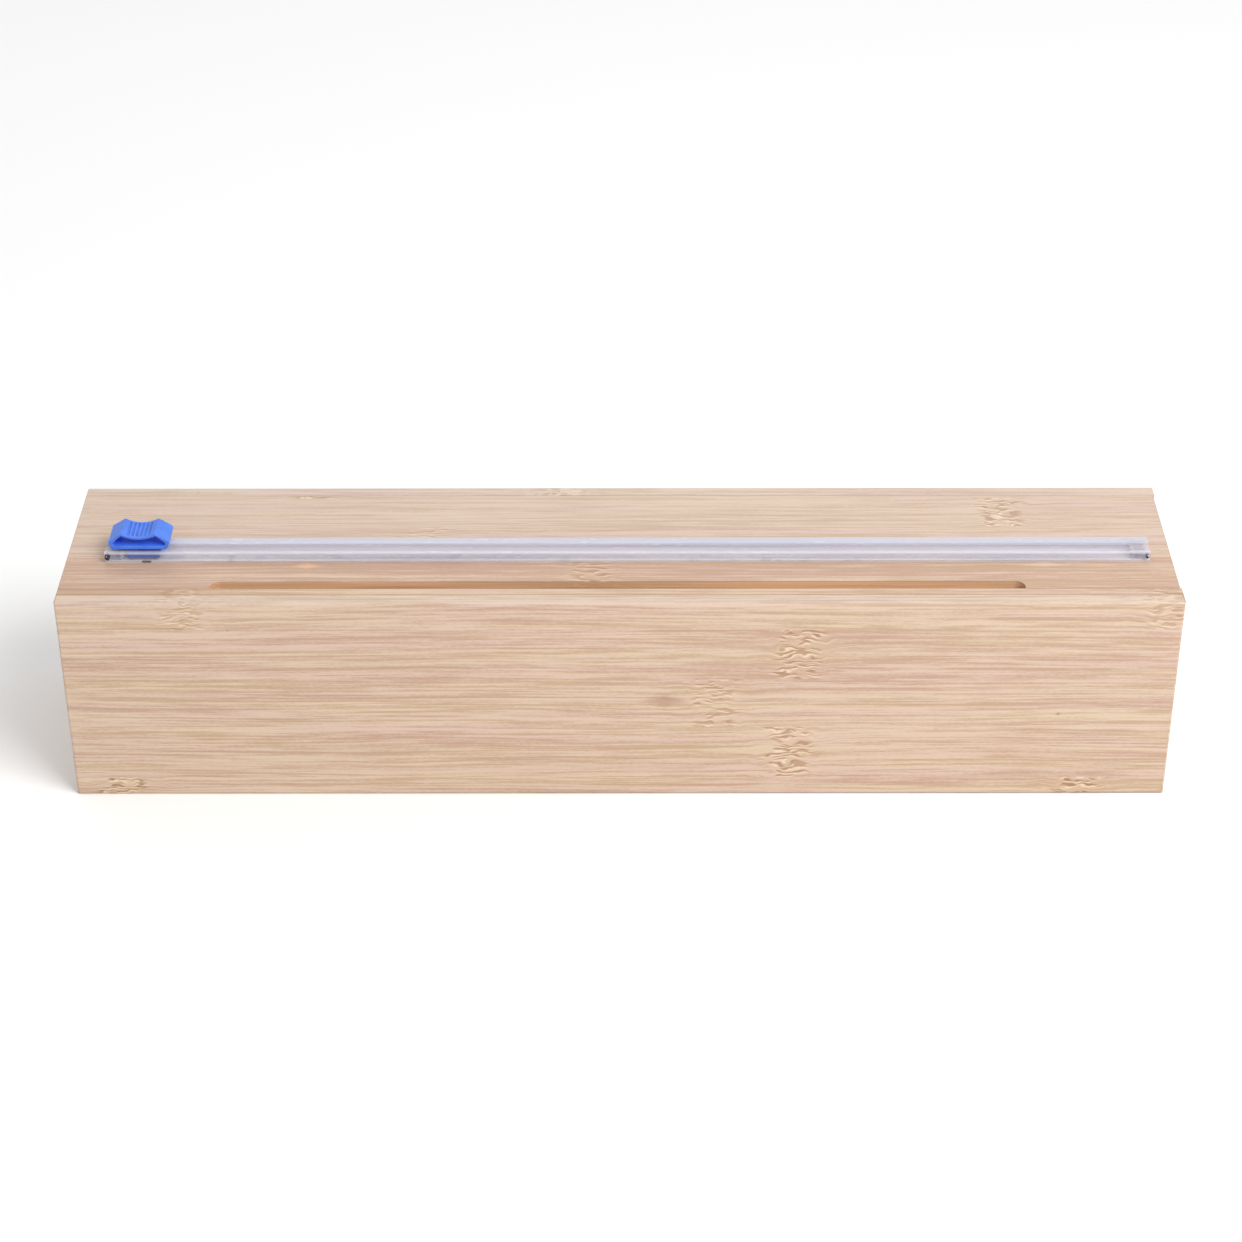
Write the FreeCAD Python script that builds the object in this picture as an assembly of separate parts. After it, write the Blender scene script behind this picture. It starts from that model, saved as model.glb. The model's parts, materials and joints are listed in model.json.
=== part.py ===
import FreeCAD, Part
import os

# Cling film dispenser: a bamboo box for one roll, with a lift-off lid that carries a
# slide cutter.  Millimetres.  +X runs along the box, to the right for a person facing
# the front, +Y towards the back, +Z up.  The origin is under the middle of the box.

# Box
box_length = 345.0
box_depth = 70.0
box_height = 72.0
front_board_thickness = 5.2
back_board_thickness = 5.4
end_board_thickness = 8.0
bottom_board_thickness = 7.0
outer_edge_round = 1.1

# Strip glued along the inside of the front board; the film leaves between it and the lid
guide_strip_depth = 3.35

# Lid
lid_thickness = 7.0
lid_side_gap = 0.15
lid_rest_gap = 0.1
lid_short_of_right_end = 0.5
lid_edge_round = 0.4
batten_length = 10.0
batten_height = 6.0
batten_end_gap = 0.3
batten_side_gap = 1.5

# Film slot: a long notch in the lid's front edge
slot_depth = 4.25
slot_left_inset = 46.5
slot_right_inset = 47.8
slot_corner_round = 3.2

# Magnets: discs sunk in the end boards' tops and in the lid above them
magnet_radius = 3.0
magnet_thickness = 2.0
magnet_sink = 0.2
magnet_spacing = 36.0

# Slide cutter rail, stuck on the lid with double-sided tape
rail_left_inset = 12.3
rail_right_inset = 7.6
rail_front_inset = 23.4
rail_depth = 9.0
rail_height = 3.3
rail_wall = 0.7
rail_groove_width = 1.1
rail_groove_offset = 4.45
rail_edge_round = 0.35
rib_height = 0.2
tape_thickness = 0.5
tape_side_inset = 0.5
end_hole_radius = 0.6
end_hole_inset = 0.95

# Stops that close the channel at both ends of the rail
stop_length = 5.4
stop_recess = 0.6
stop_bevel = 1.0
stop_fit_gap = 0.05
stop_dimple_radius = 0.3
stop_dimple_spacing = 1.5

# Slider: a knob above the rail, joined through the groove to a foot in the channel
slider_rest_gap = 1.3
slider_end_gap = 0.2
foot_length = 9.75
foot_side_gap = 0.25
foot_height_gap = 0.2
neck_length = 6.0
neck_thickness = 0.7
knob_depth = 9.8
knob_front_inset = 24.7
knob_shift = -1.2
knob_rail_gap = 0.25
knob_height = 5.5
knob_bottom_half = 8.65
knob_widest_half = 9.5
knob_widest_height = 2.2
knob_shoulder_half = 9.35
knob_shoulder_height = 2.9
knob_top_half = 5.2
knob_scoop = 1.35
knob_roof = 0.75
knob_floor = 1.2
window_bottom_half = 7.9
window_widest_half = 8.25
window_top_half = 5.4
knob_corner_round = 0.9
knob_rim_round = 0.3
groove_count = 6
groove_pitch = 1.3
groove_radius = 0.34
groove_end_margin = 0.9

# Blades: one steel tooth at each end of the neck
blade_thickness = 0.4
blade_root = 1.5
blade_reach = 0.5
blade_foot_cover = 0.3
blade_knob_depth = 0.9

# Places that follow from the sizes above
half_length = box_length / 2
half_depth = box_depth / 2
front_inner = -half_depth + front_board_thickness
strip_inner = front_inner + guide_strip_depth
back_inner = half_depth - back_board_thickness
end_inner = half_length - end_board_thickness
end_top = box_height - lid_thickness
lid_bottom = end_top + lid_rest_gap
lid_left = -half_length
lid_right = half_length - lid_short_of_right_end
lid_front = strip_inner + lid_side_gap
lid_back = back_inner - lid_side_gap
magnet_x = half_length - end_board_thickness / 2
rail_left = -half_length + rail_left_inset
rail_right = half_length - rail_right_inset
rail_front = -half_depth + rail_front_inset
rail_back = rail_front + rail_depth
rail_bottom = box_height + tape_thickness
rail_top = rail_bottom + rail_height
groove_y = rail_front + rail_groove_offset
channel_front = rail_front + rail_wall
channel_back = rail_back - rail_wall
channel_bottom = rail_bottom + rail_wall
channel_top = rail_top - rail_wall
stop_left_inner = rail_left + stop_recess + stop_length
stop_right_inner = rail_right - stop_recess - stop_length
slider_x = stop_left_inner + slider_rest_gap + foot_length / 2
slider_travel_left = slider_end_gap - slider_rest_gap
slider_travel_right = stop_right_inner - slider_end_gap - slider_x - foot_length / 2
knob_x = slider_x + knob_shift
foot_bottom = channel_bottom + foot_height_gap
foot_top = channel_top - foot_height_gap
knob_bottom = rail_top + rib_height + knob_rail_gap
knob_front = -half_depth + knob_front_inset
knob_back = knob_front + knob_depth


def block(x_span, y_span, z_span):
    """A solid between two values on each axis."""
    corner = FreeCAD.Vector(x_span[0], y_span[0], z_span[0])
    size_x = x_span[1] - x_span[0]
    size_y = y_span[1] - y_span[0]
    size_z = z_span[1] - z_span[0]
    return Part.makeBox(size_x, size_y, size_z, corner)


def rounded(shape, radius, is_wanted):
    """The shape with a fillet on each edge whose middle and direction are wanted."""
    edges = []
    for edge in shape.Edges:
        middle = edge.valueAt((edge.FirstParameter + edge.LastParameter) / 2)
        along = edge.tangentAt((edge.FirstParameter + edge.LastParameter) / 2)
        if is_wanted(middle, along):
            edges.append(edge)
    return shape.makeFillet(radius, edges)


def near(value, target):
    """True when two lengths are the same to within a thousandth of a millimetre."""
    return abs(value - target) < 0.001


def extruded_along_y(points, y_front, y_back):
    """A solid from an outline of x, z points, between two y values."""
    corners = [FreeCAD.Vector(x, y_front, z) for x, z in points]
    wire = Part.makePolygon(corners + corners[:1])
    return Part.Face(wire).extrude(FreeCAD.Vector(0, y_back - y_front, 0))


def extruded_along_x(points, x_left, x_right):
    """A solid from an outline of y, z points, between two x values."""
    corners = [FreeCAD.Vector(x_left, y, z) for y, z in points]
    wire = Part.makePolygon(corners + corners[:1])
    return Part.Face(wire).extrude(FreeCAD.Vector(x_right - x_left, 0, 0))


def magnet_discs(side, z_low):
    """Two magnet discs over one end board; side is -1 for the left end and 1 for the right."""
    discs = []
    for y in (-magnet_spacing / 2, magnet_spacing / 2):
        place = FreeCAD.Vector(side * magnet_x, y, z_low)
        discs.append(Part.makeCylinder(magnet_radius, magnet_thickness, place))
    return Part.makeCompound(discs)


def box_magnets(side):
    return magnet_discs(side, end_top - magnet_sink - magnet_thickness)


def lid_magnets(side):
    return magnet_discs(side, lid_bottom + magnet_sink)


def magnet_pockets(side, z_low, z_high):
    """Round pockets for the two discs at one end, to be cut from a board."""
    pockets = []
    for y in (-magnet_spacing / 2, magnet_spacing / 2):
        place = FreeCAD.Vector(side * magnet_x, y, z_low)
        pockets.append(Part.makeCylinder(magnet_radius, z_high - z_low, place))
    return Part.makeCompound(pockets)


def front_board():
    board = block((-half_length, half_length), (-half_depth, front_inner), (0, box_height))
    return rounded(board, outer_edge_round, lambda p, d: near(p.y, -half_depth))


def front_guide_strip():
    return block((-half_length, half_length), (front_inner, strip_inner), (end_top, box_height))


def back_board():
    board = block((-half_length, half_length), (back_inner, half_depth), (0, box_height))
    return rounded(board, outer_edge_round, lambda p, d: near(p.y, half_depth))


def bottom_board():
    return block((-end_inner, end_inner), (front_inner, back_inner), (0, bottom_board_thickness))


def end_board(side):
    span = sorted((side * end_inner, side * half_length))
    board = block(span, (front_inner, back_inner), (0, end_top))
    board = rounded(board, outer_edge_round, lambda p, d: near(p.x, side * half_length) and near(p.z, 0))
    return board.cut(magnet_pockets(side, end_top - magnet_sink - magnet_thickness, end_top))


def film_notch():
    """The piece cut from the lid's front edge, with round corners at its far side."""
    left = -half_length + slot_left_inset
    right = half_length - slot_right_inset
    front = lid_front - slot_depth
    back = strip_inner + slot_depth
    notch = block((left, right), (front, back), (lid_bottom, box_height))
    return rounded(notch, slot_corner_round, lambda p, d: near(abs(d.z), 1) and near(p.y, back))


def lid_board():
    board = block((lid_left, lid_right), (lid_front, lid_back), (lid_bottom, box_height))
    for end in (lid_left, lid_right):
        board = rounded(board, lid_edge_round, lambda p, d: near(p.z, box_height) and near(p.x, end))
    board = board.cut(film_notch())
    for side in (-1, 1):
        board = board.cut(magnet_pockets(side, lid_bottom, lid_bottom + magnet_sink + magnet_thickness))
    return board


def lid_batten(side):
    """A cross batten under the lid that drops in beside the end board and keeps the lid in place."""
    outer = side * (end_inner - batten_end_gap)
    inner = outer - side * batten_length
    y_span = (strip_inner + batten_side_gap, back_inner - batten_side_gap)
    batten = block(sorted((outer, inner)), y_span, (lid_bottom - batten_height, lid_bottom))
    return rounded(batten, lid_edge_round, lambda p, d: near(p.z, lid_bottom - batten_height))


def rail_tape():
    y_span = (rail_front + tape_side_inset, rail_back - tape_side_inset)
    return block((rail_left, rail_right), y_span, (box_height, rail_bottom))


def cutter_rail():
    """A channel with a groove along its top; the slider's neck runs in the groove."""
    half_groove = rail_groove_width / 2
    rib_front = groove_y + half_groove
    profile = [
        (rail_front, rail_bottom),
        (rail_back, rail_bottom),
        (rail_back, rail_top),
        (rail_back - rail_wall, rail_top + rib_height),
        (rib_front + rail_wall, rail_top + rib_height),
        (rib_front, rail_top),
        (rib_front, channel_top),
        (channel_back, channel_top),
        (channel_back, channel_bottom),
        (channel_front, channel_bottom),
        (channel_front, channel_top),
        (groove_y - half_groove, channel_top),
        (groove_y - half_groove, rail_top),
        (rail_front, rail_top),
    ]
    rail = extruded_along_x(profile, rail_left, rail_right)
    rail = rounded(rail, rail_edge_round, is_rail_front_edge)
    for side in (-1, 1):
        rail = rail.cut(end_hole(side, rail_front, rail_wall))
    return rail


def is_rail_front_edge(middle, along):
    """True for the long edge between the rail's front wall and its top."""
    return near(middle.y, rail_front) and near(middle.z, rail_top) and near(abs(along.x), 1)


def end_hole(side, front, depth):
    """A round hole from the front, through the rail's wall or into the stop behind it."""
    end = rail_left if side < 0 else rail_right
    place = FreeCAD.Vector(end - side * end_hole_inset, front, (channel_bottom + channel_top) / 2)
    return Part.makeCylinder(end_hole_radius, depth, place, FreeCAD.Vector(0, 1, 0))


def rail_end_stop(side):
    """A plug in the channel; its inner end is bevelled at the front, where it meets the slider's foot."""
    outer = rail_left + stop_recess if side < 0 else rail_right - stop_recess
    inner = outer - side * stop_length
    front = channel_front + stop_fit_gap
    back = channel_back - stop_fit_gap
    outline = [
        (outer, front),
        (inner + side * stop_bevel, front),
        (inner, front + stop_bevel),
        (inner, back),
        (outer, back),
    ]
    corners = [FreeCAD.Vector(x, y, channel_bottom) for x, y in outline]
    height = channel_top - channel_bottom
    stop = Part.Face(Part.makePolygon(corners + corners[:1])).extrude(FreeCAD.Vector(0, 0, height))
    stop = stop.cut(end_hole(side, front, 2 * end_hole_radius))
    for step in (1, 2):
        dimple_x = inner + side * step * stop_dimple_spacing
        place = FreeCAD.Vector(dimple_x, groove_y, channel_top - stop_dimple_radius)
        stop = stop.cut(Part.makeCylinder(stop_dimple_radius, 2 * stop_dimple_radius, place))
    return stop


def slider_foot():
    """The block that slides in the channel, with a neck that stands up through the groove."""
    half = foot_length / 2
    y_span = (channel_front + foot_side_gap, channel_back - foot_side_gap)
    foot = block((slider_x - half, slider_x + half), y_span, (foot_bottom, foot_top))
    neck_x = (slider_x - neck_length / 2, slider_x + neck_length / 2)
    neck_y = (groove_y - neck_thickness / 2, groove_y + neck_thickness / 2)
    foot = foot.fuse(block(neck_x, neck_y, (foot_top, knob_bottom + blade_knob_depth)))
    for side in (-1, 1):
        foot = foot.cut(blade_root_block(side, foot_bottom + blade_foot_cover, foot_top))
    return foot


def blade_root_block(side, z_low, z_high):
    """The slit that a blade's root fills, in the foot or in the knob's floor."""
    inner = slider_x + side * neck_length / 2
    x_span = sorted((inner, inner + side * blade_root))
    y_span = (groove_y - blade_thickness / 2, groove_y + blade_thickness / 2)
    return block(x_span, y_span, (z_low, z_high))


def cutter_blade(side):
    """A steel tooth in the plane of the groove, with its slanting edge just above the rail."""
    inner = slider_x + side * neck_length / 2
    outer = inner + side * blade_root
    outline = [
        (inner, foot_bottom + blade_foot_cover),
        (outer, foot_bottom + blade_foot_cover),
        (outer, foot_top),
        (outer + side * blade_reach, knob_bottom - knob_rail_gap),
        (outer, knob_bottom),
        (outer, knob_bottom + blade_knob_depth),
        (inner, knob_bottom + blade_knob_depth),
    ]
    half = blade_thickness / 2
    return extruded_along_y(outline, groove_y - half, groove_y + half)


def scooped_prism(half_widths, heights, scoop, y_front, y_back):
    """A prism along y about the knob's middle, its top hollowed by a round arc."""
    top = knob_bottom + heights[-1]
    right = [(w, knob_bottom + h) for w, h in zip(half_widths, heights)]
    left = [(-w, z) for w, z in reversed(right)]
    points = [FreeCAD.Vector(knob_x + x, y_front, z) for x, z in right + left]
    edges = []
    for index, point in enumerate(points):
        following = points[(index + 1) % len(points)]
        if index == len(right) - 1:
            middle = FreeCAD.Vector(knob_x, y_front, top - scoop)
            edges.append(Part.Arc(point, middle, following).toShape())
        else:
            edges.append(Part.LineSegment(point, following).toShape())
    face = Part.Face(Part.Wire(edges))
    return face.extrude(FreeCAD.Vector(0, y_back - y_front, 0))


def knob_body():
    widths = (knob_bottom_half, knob_widest_half, knob_shoulder_half, knob_top_half)
    heights = (0, knob_widest_height, knob_shoulder_height, knob_height)
    body = scooped_prism(widths, heights, knob_scoop, knob_front, knob_back)
    body = rounded(body, knob_corner_round, lambda p, d: near(abs(d.y), 1) and near(p.z, knob_bottom))
    return rounded(body, knob_rim_round, lambda p, d: near(p.y, knob_front) or near(p.y, knob_back))


def knob_window():
    """The hollow through the knob from front to back."""
    widths = (window_bottom_half, window_widest_half, window_top_half)
    heights = (knob_floor, knob_widest_height, knob_height - knob_roof)
    return scooped_prism(widths, heights, knob_scoop, knob_front - 1, knob_back + 1)


def knob_grip_grooves():
    """Round-bottomed grooves from front to back across the knob's hollow top."""
    chord_half = knob_top_half
    radius = (chord_half ** 2 + knob_scoop ** 2) / (2 * knob_scoop)
    centre_z = knob_bottom + knob_height - knob_scoop + radius
    length = knob_depth - 2 * groove_end_margin
    cutters = []
    for index in range(groove_count):
        x = (index - (groove_count - 1) / 2) * groove_pitch
        z = centre_z - (radius ** 2 - x ** 2) ** 0.5
        place = FreeCAD.Vector(knob_x + x, knob_front + groove_end_margin, z)
        cutters.append(Part.makeCylinder(groove_radius, length, place, FreeCAD.Vector(0, 1, 0)))
    return Part.makeCompound(cutters)


def slider_knob():
    knob = knob_body().cut(knob_window()).cut(knob_grip_grooves())
    neck_x = (slider_x - neck_length / 2, slider_x + neck_length / 2)
    neck_y = (groove_y - neck_thickness / 2, groove_y + neck_thickness / 2)
    knob = knob.cut(block(neck_x, neck_y, (knob_bottom, knob_bottom + blade_knob_depth)))
    for side in (-1, 1):
        knob = knob.cut(blade_root_block(side, knob_bottom, knob_bottom + blade_knob_depth))
    return knob


def all_parts():
    """Every sub-part by its node name."""
    parts = {
        "front_board": front_board(),
        "front_guide_strip": front_guide_strip(),
        "back_board": back_board(),
        "bottom_board": bottom_board(),
        "lid_board": lid_board(),
        "rail_tape": rail_tape(),
        "cutter_rail": cutter_rail(),
        "slider_foot": slider_foot(),
        "slider_knob": slider_knob(),
    }
    for name, side in (("left", -1), ("right", 1)):
        parts[name + "_end_board"] = end_board(side)
        parts["box_magnets_" + name] = box_magnets(side)
        parts["lid_magnets_" + name] = lid_magnets(side)
        parts["lid_batten_" + name] = lid_batten(side)
        parts["rail_end_stop_" + name] = rail_end_stop(side)
        parts["cutter_blade_" + name] = cutter_blade(side)
    return parts


os.makedirs("parts", exist_ok=True)
for node, shape in all_parts().items():
    shape.exportStep("parts/" + node + ".step")
    print(node, "solids", len(shape.Solids), "valid", shape.isValid(), "volume", round(shape.Volume, 1))
print("slider travel", round(slider_travel_left, 2), round(slider_travel_right, 2))
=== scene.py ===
import json
import math

import bpy
from mathutils import Matrix, Vector


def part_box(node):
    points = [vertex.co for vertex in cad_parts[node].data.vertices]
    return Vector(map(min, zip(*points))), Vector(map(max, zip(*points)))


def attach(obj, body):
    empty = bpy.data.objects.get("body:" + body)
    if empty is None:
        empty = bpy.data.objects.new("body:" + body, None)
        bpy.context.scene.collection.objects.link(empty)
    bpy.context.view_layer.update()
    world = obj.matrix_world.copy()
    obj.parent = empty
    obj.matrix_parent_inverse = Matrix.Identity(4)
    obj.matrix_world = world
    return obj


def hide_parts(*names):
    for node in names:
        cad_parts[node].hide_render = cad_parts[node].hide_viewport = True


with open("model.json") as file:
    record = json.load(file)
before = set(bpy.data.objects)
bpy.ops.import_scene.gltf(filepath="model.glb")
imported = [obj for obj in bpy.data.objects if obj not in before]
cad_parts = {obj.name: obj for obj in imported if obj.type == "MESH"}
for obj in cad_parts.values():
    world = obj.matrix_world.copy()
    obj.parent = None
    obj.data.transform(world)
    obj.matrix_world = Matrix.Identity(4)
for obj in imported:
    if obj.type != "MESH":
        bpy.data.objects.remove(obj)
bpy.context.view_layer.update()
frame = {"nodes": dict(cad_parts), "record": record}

bl_info = {
    "name": "Cling film dispenser",
    "version": (1, 0, 0),
    "blender": (4, 5, 0),
    "location": "View3D > Sidebar > Dispenser",
    "description": "Builds a bamboo cling film dispenser with a slide cutter around its CAD parts",
    "category": "Add Mesh",
}

MM = 0.001
SIDES = {"left": -1, "right": 1}
Y_AXIS = Vector((0, 1, 0))
Z_AXIS = Vector((0, 0, 1))


# ---- sizes and colours


class BoxLook(bpy.types.PropertyGroup):
    """Bamboo boards of the box and its lid."""

    outer_round: bpy.props.FloatProperty(
        name="Outer edge round", description="Radius of the box's long outer edges",
        default=1.1 * MM, min=0, unit="LENGTH")
    joint_round: bpy.props.FloatProperty(
        name="Joint edge round", description="Small radius that shows each joint between boards",
        default=0.18 * MM, min=0, unit="LENGTH")
    slot_corner: bpy.props.FloatProperty(
        name="Slot corner round", description="Radius of the film slot's far corners",
        default=3.2 * MM, min=0, unit="LENGTH")
    pale: bpy.props.FloatVectorProperty(
        name="Pale fibre", description="Colour of the lightest fibres",
        default=(0.665, 0.527, 0.415), size=3, min=0, max=1, subtype="COLOR")
    tan: bpy.props.FloatVectorProperty(
        name="Tan fibre", description="Colour of the darker fibres",
        default=(0.42, 0.27, 0.17), size=3, min=0, max=1, subtype="COLOR")
    blush: bpy.props.FloatVectorProperty(
        name="Blush", description="Pinkish tone of some strips",
        default=(0.56, 0.365, 0.30), size=3, min=0, max=1, subtype="COLOR")
    honey: bpy.props.FloatVectorProperty(
        name="Honey", description="Yellowish tone of some strips",
        default=(0.59, 0.44, 0.285), size=3, min=0, max=1, subtype="COLOR")
    # cream: painted highlights beside the brown strokes at a node, and the colour of a pale smear on the
    # lid
    cream: bpy.props.FloatVectorProperty(
        name="Cream", description="Colour of the bright curled fibres at a node",
        default=(0.80, 0.66, 0.47), size=3, min=0, max=1, subtype="COLOR")
    knot: bpy.props.FloatVectorProperty(
        name="Node brown", description="Colour of the short curled fibres at a node",
        default=(0.32, 0.155, 0.08), size=3, min=0, max=1, subtype="COLOR")
    # seam: glue lines with painted shade in the joints between boards, and the darker cut ends
    seam: bpy.props.FloatVectorProperty(
        name="Seam", description="Colour of the glue lines between boards",
        default=(0.34, 0.185, 0.085), size=3, min=0, max=1, subtype="COLOR")
    routed: bpy.props.FloatVectorProperty(
        name="Routed wall", description="Colour of the film slot's scorched wall",
        default=(0.88, 0.53, 0.30), size=3, min=0, max=1, subtype="COLOR")


class RailLook(bpy.types.PropertyGroup):
    """Clear cutter rail and its stops."""

    edge_round: bpy.props.FloatProperty(
        name="Front edge round", description="Radius of the rail's front top edge",
        default=0.35 * MM, min=0, unit="LENGTH")
    fine_round: bpy.props.FloatProperty(
        name="Fine edge round", description="Radius of the rail's other edges",
        default=0.07 * MM, min=0, unit="LENGTH")
    tint: bpy.props.FloatVectorProperty(
        name="Rail tint", description="Colour of the clear plastic",
        default=(0.65, 0.67, 0.81), size=3, min=0, max=1, subtype="COLOR")
    land: bpy.props.FloatVectorProperty(
        name="Land", description="Colour of the plastic over the tape, seen from above",
        default=(0.82, 0.72, 0.69), size=3, min=0, max=1, subtype="COLOR")
    # rim: milky colour of thick plastic, also used as a painted highlight where the plastic catches the
    # light
    rim: bpy.props.FloatVectorProperty(
        name="Rim", description="Colour of the plastic where it is thick",
        default=(0.66, 0.67, 0.78), size=3, min=0, max=1, subtype="COLOR")
    haze: bpy.props.FloatProperty(
        name="Haze", description="Share of light that the plastic's surface holds back",
        default=0.17, min=0, max=1, subtype="FACTOR")


class SliderLook(bpy.types.PropertyGroup):
    """Blue knob, its foot and the blades."""

    groove_count: bpy.props.IntProperty(
        name="Grip grooves", description="Grooves across the knob's top", default=6, min=0)
    groove_pitch: bpy.props.FloatProperty(
        name="Groove pitch", description="Distance from one grip groove to the next",
        default=1.3 * MM, min=0, unit="LENGTH")
    groove_radius: bpy.props.FloatProperty(
        name="Groove radius", description="Radius of the round-bottomed grip grooves",
        default=0.34 * MM, min=0, unit="LENGTH")
    rim_round: bpy.props.FloatProperty(
        name="Rim round", description="Radius of the knob's moulded edges",
        default=0.2 * MM, min=0, unit="LENGTH")
    blue: bpy.props.FloatVectorProperty(
        name="Knob blue", description="Colour of the knob",
        default=(0.075, 0.215, 0.80), size=3, min=0, max=1, subtype="COLOR")
    # deep_blue: painted shade inside and under the knob; the foot's own colour is made from it too
    deep_blue: bpy.props.FloatVectorProperty(
        name="Deep blue", description="Colour inside the knob",
        default=(0.045, 0.18, 0.95), size=3, min=0, max=1, subtype="COLOR")


class StageLook(bpy.types.PropertyGroup):
    """Floor, lights and camera."""

    lens: bpy.props.FloatProperty(
        name="Lens", description="Focal length in millimetres on a 36 mm sensor", default=84.24)
    camera_place: bpy.props.FloatVectorProperty(
        name="Camera place", description="Where the camera stands",
        default=(0.0040, -0.7790, 0.5503), size=3, unit="LENGTH")
    camera_pitch: bpy.props.FloatProperty(
        name="Camera pitch", description="How far the camera looks down",
        default=math.radians(33.08), subtype="ANGLE")
    camera_yaw: bpy.props.FloatProperty(
        name="Camera yaw", description="How far the camera turns to the left",
        default=math.radians(0.267), subtype="ANGLE")
    camera_roll: bpy.props.FloatProperty(
        name="Camera roll", description="How far the camera leans",
        default=math.radians(-0.195), subtype="ANGLE")
    key_place: bpy.props.FloatVectorProperty(
        name="Key light place", description="Where the large light hangs",
        default=(0.70, -0.65, 1.10), size=3, unit="LENGTH")
    key_power: bpy.props.FloatProperty(
        name="Key light", description="Power of the large light, in watts", default=16.0, min=0)
    sky_strength: bpy.props.FloatProperty(
        name="Sky strength", description="Strength of the even light from all round", default=0.70, min=0)
    floor: bpy.props.FloatVectorProperty(
        name="Floor", description="Colour of the floor",
        default=(0.92, 0.92, 0.92), size=3, min=0, max=1, subtype="COLOR")


class DispenserLook(bpy.types.PropertyGroup):
    """All sizes and colours of the dispenser."""

    box: bpy.props.PointerProperty(type=BoxLook)
    rail: bpy.props.PointerProperty(type=RailLook)
    slider: bpy.props.PointerProperty(type=SliderLook)
    stage: bpy.props.PointerProperty(type=StageLook)


# ---- shader sums


class Value:
    """A shader output that takes part in Python sums; each sum adds a Math node."""

    def __init__(self, graph, socket):
        self.graph = graph
        self.socket = socket

    def other(self, index):
        """Another output of the same node."""
        return Value(self.graph, self.socket.node.outputs[index])

    def sum(self, operation, *terms):
        return self.graph.node("ShaderNodeMath", {"operation": operation}, dict(enumerate(terms)))

    def __add__(self, other):
        return self.sum("ADD", self, other)

    __radd__ = __add__

    def __mul__(self, other):
        return self.sum("MULTIPLY", self, other)

    __rmul__ = __mul__

    def __sub__(self, other):
        return self.sum("SUBTRACT", self, other)

    def __rsub__(self, other):
        return self.sum("SUBTRACT", other, self)

    def __truediv__(self, other):
        return self.sum("DIVIDE", self, other)

    def __abs__(self):
        return self.sum("ABSOLUTE", self)

    def wrapped(self, half):
        """The value folded into the stretch from -half to half."""
        return self.sum("WRAP", self, half, -half)

    def larger(self, other):
        return self.sum("MAXIMUM", self, other)

    def step(self, first, last):
        """0 up to first, 1 from last on and smooth between; first may be the larger of the two."""
        ends = (0, 1) if first < last else (1, 0)
        inputs = {0: self, 1: min(first, last), 2: max(first, last), 3: ends[0], 4: ends[1]}
        return self.graph.node("ShaderNodeMapRange", {"interpolation_type": "SMOOTHSTEP"}, inputs)


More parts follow.
